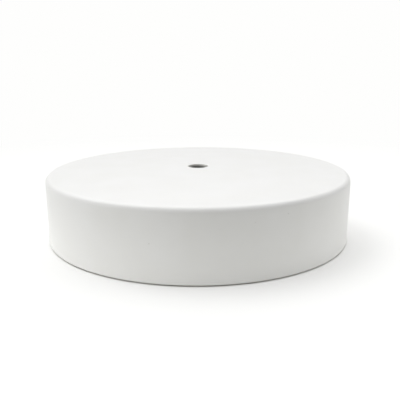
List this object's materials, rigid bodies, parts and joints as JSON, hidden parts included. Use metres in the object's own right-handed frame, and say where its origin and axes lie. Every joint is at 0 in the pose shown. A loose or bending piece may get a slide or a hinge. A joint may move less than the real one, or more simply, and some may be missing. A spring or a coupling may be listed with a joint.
{
  "type": "ceiling canopy",
  "caption": "Shallow round white metal cup with a central cord hole, which covers the wiring where a pendant lamp hangs from a ceiling.",
  "frame": {"origin": "centre of the rim's plane, on the cup's axis", "axes": "+Z along the cup's axis, out through the crown and the cord hole; the cup is round, so +X and +Y are alike"},
  "size_m": [0.12, 0.12, 0.0263],
  "materials": {
    "white_powder_coat": "satin"
  },
  "bodies": {
    "root": {"canopy": "white_powder_coat"}
  },
  "joints": []
}
